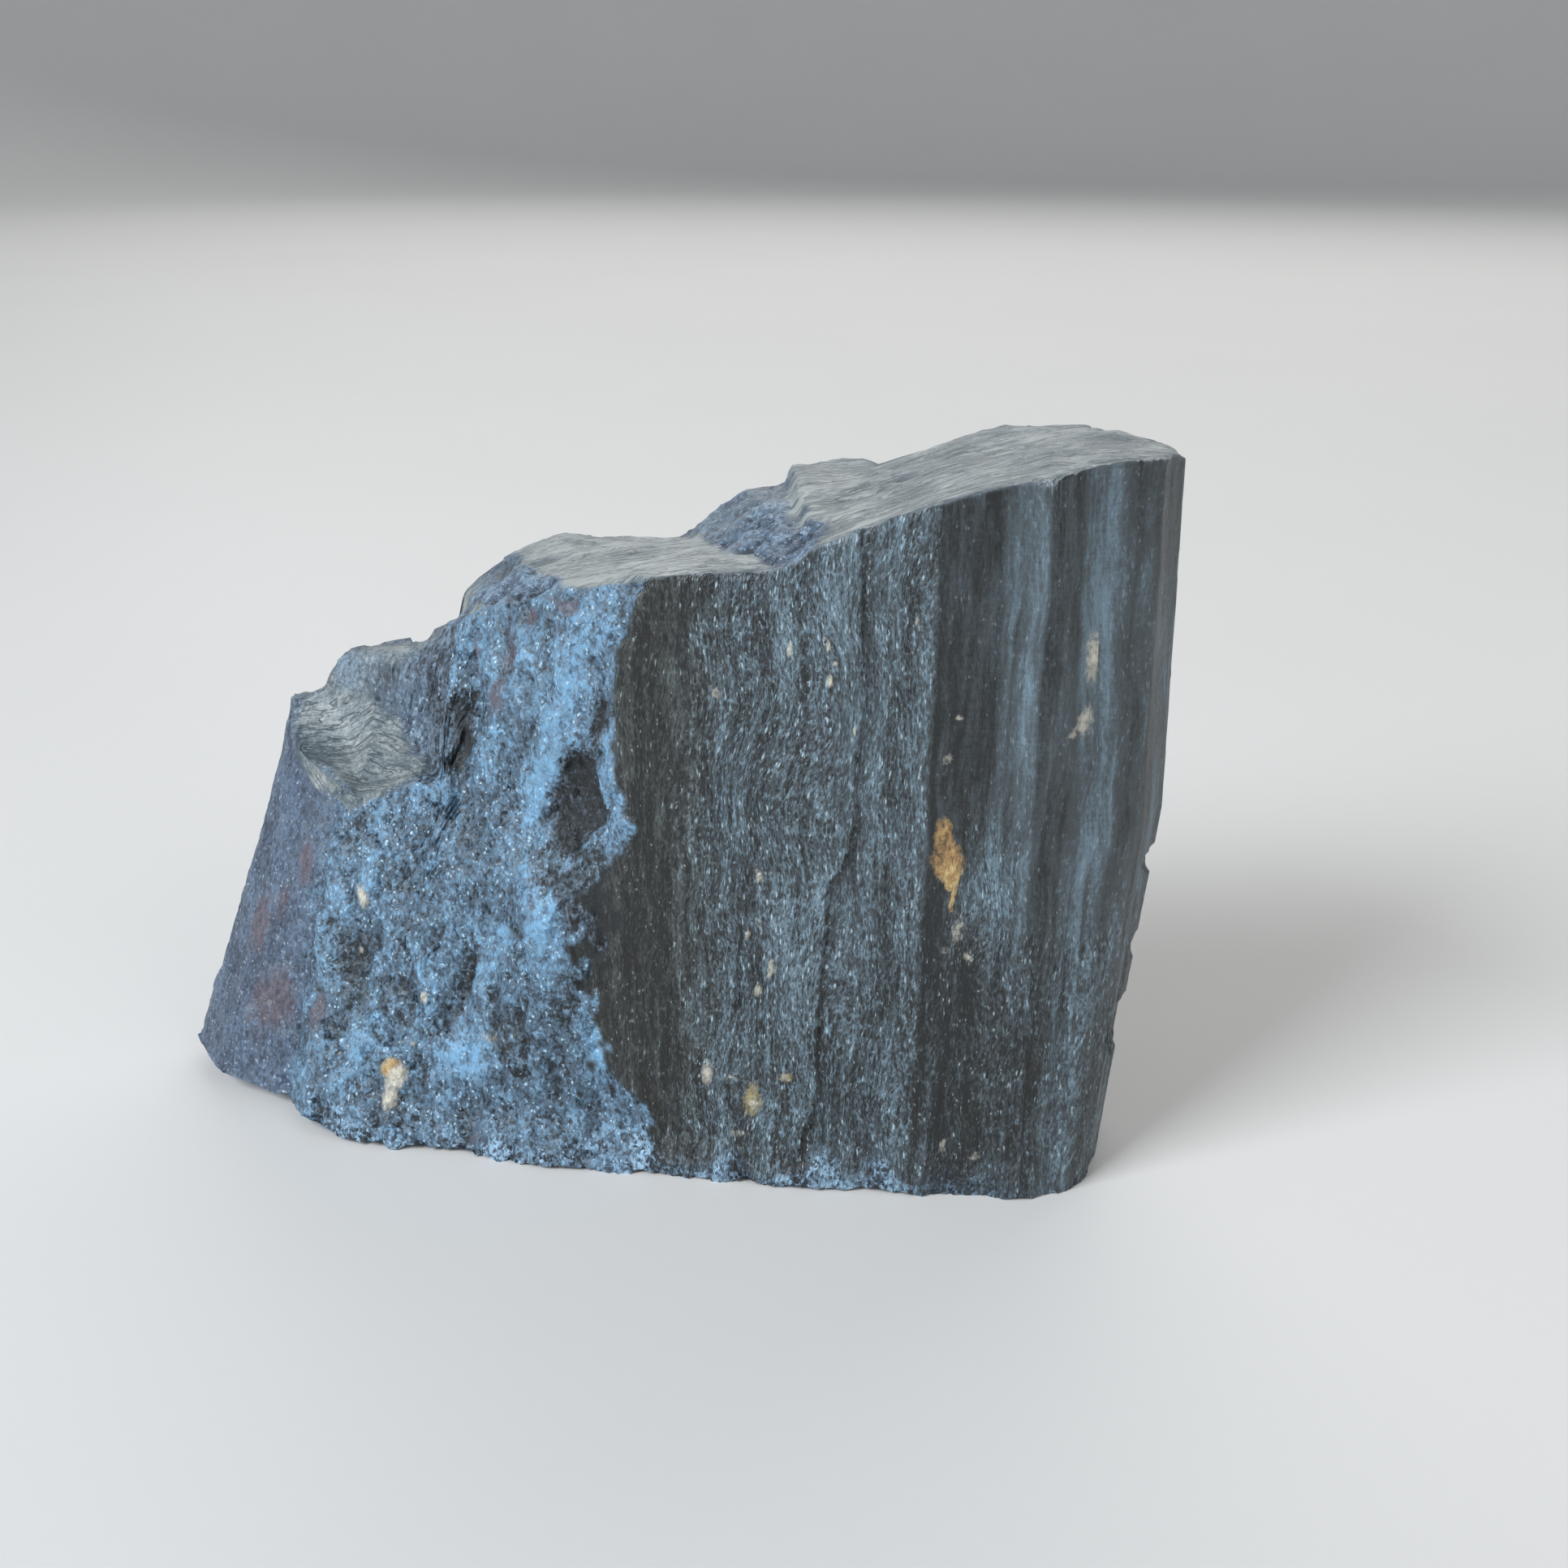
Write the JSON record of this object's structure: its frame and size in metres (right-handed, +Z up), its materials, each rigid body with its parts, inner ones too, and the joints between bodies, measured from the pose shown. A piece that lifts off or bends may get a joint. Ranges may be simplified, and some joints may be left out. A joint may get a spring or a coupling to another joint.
{
  "type": "rough black tourmaline crystal",
  "caption": "Rough broken chunk of black tourmaline with a striated prism face, a granular fracture face and a stepped top, resting on its flat break.",
  "frame": {"origin": "middle of the bounding box in plan, on the surface the stone stands on", "axes": "+X along the stone's length to its tall end, -Y out of the broad striated prism face, +Z up, close to the crystal's c axis"},
  "size_m": [0.0554, 0.0223, 0.0387],
  "materials": {
    "black_tourmaline": "rough, glassy on fresh breaks, finely striated along the prism"
  },
  "bodies": {
    "root": {"crystal": "black_tourmaline"}
  },
  "joints": []
}
